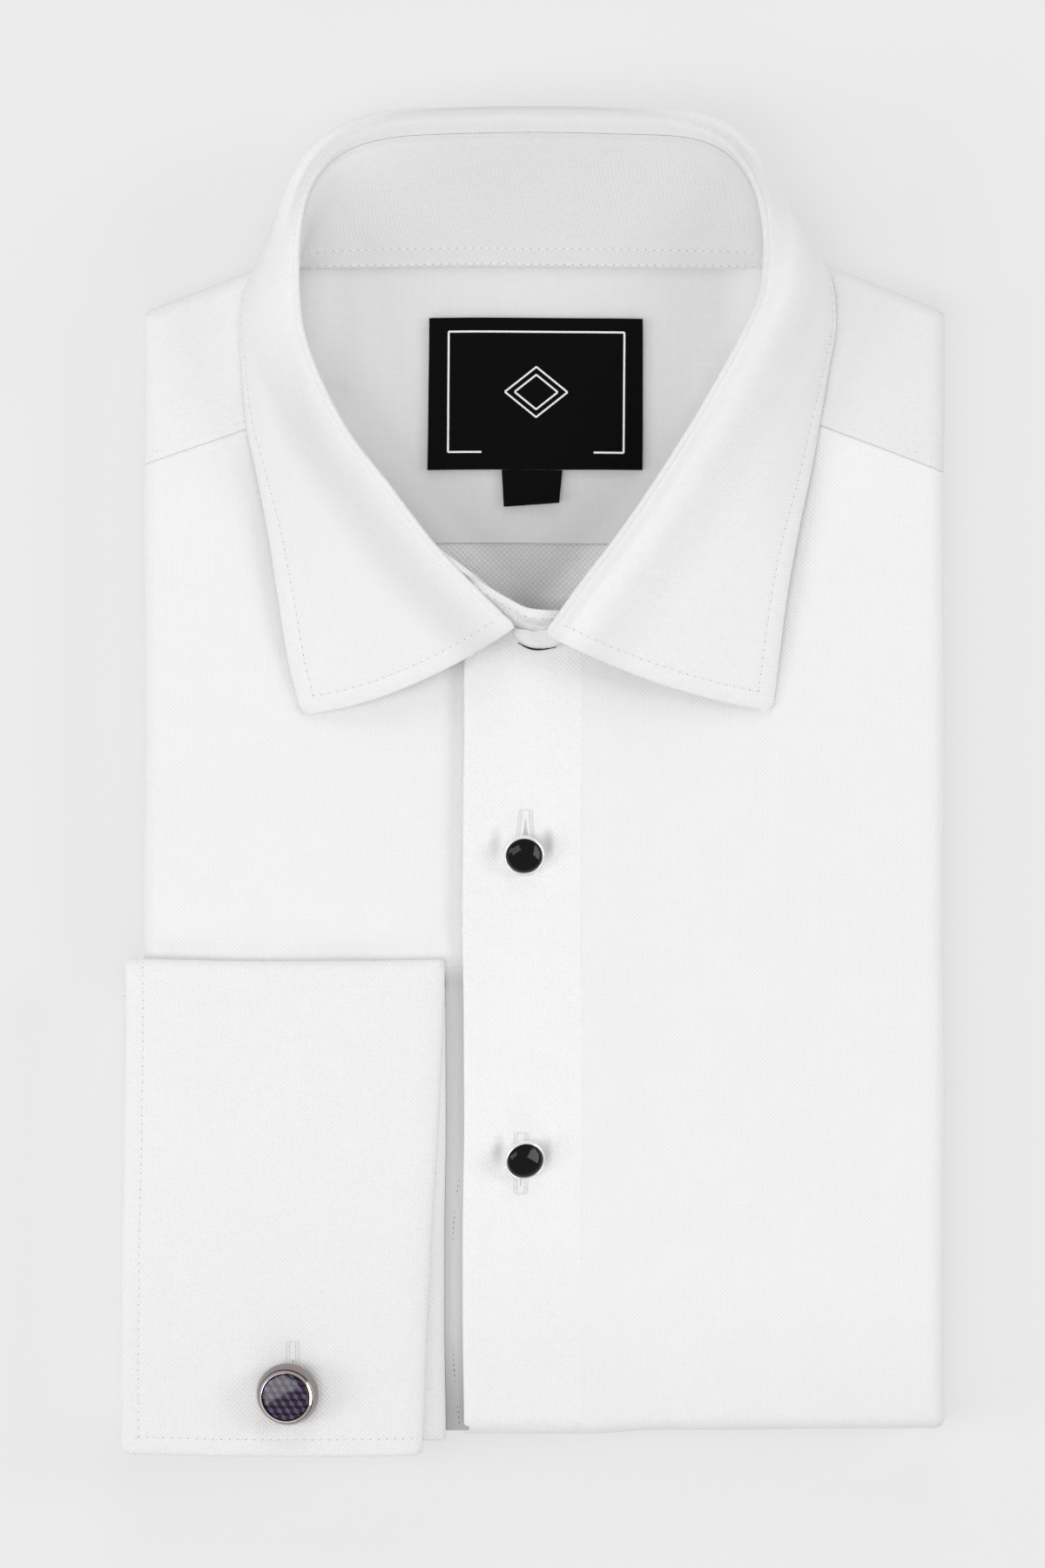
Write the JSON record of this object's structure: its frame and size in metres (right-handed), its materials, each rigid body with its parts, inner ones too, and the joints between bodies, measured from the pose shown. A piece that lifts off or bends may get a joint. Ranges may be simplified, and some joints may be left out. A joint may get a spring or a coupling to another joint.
{
  "type": "folded long sleeve dress shirt",
  "caption": "White evening shirt with a turned-down collar, dress studs and a linked double cuff, folded flat.",
  "frame": {"origin": "on the surface the shirt lies on, under the middle of its outline", "axes": "+X across the shirt towards the wearer's left side, +Y up it from the hem fold to the collar, +Z up off the surface"},
  "size_m": [0.2364, 0.3857, 0.0455],
  "materials": {
    "pique": "matt white cotton with a small diamond weave",
    "lining": "matt plain white cotton",
    "label": "black woven tape",
    "silver": "polished",
    "enamel": "glossy black dome",
    "gunmetal": "polished dark metal with a warm cast",
    "inlay": "glossy inlay of small violet and dark diamonds"
  },
  "bodies": {
    "root": {"folded_layers": "pique", "front_right": "pique", "front_left": "pique", "placket": "pique", "yoke_right": "pique", "yoke_left": "pique", "back_inside": "pique", "yoke_lining": "lining", "collar_band": "pique", "collar_fall": "pique", "label": "label", "size_tab": "label", "cuff_top": "pique", "cuff_under": "pique", "sleeve": "pique", "stud_1_rim": "silver", "stud_2_rim": "silver", "stud_1_dome": "enamel", "stud_2_dome": "enamel", "cufflink_barrel": "gunmetal", "cufflink_face": "inlay"}
  },
  "joints": []
}
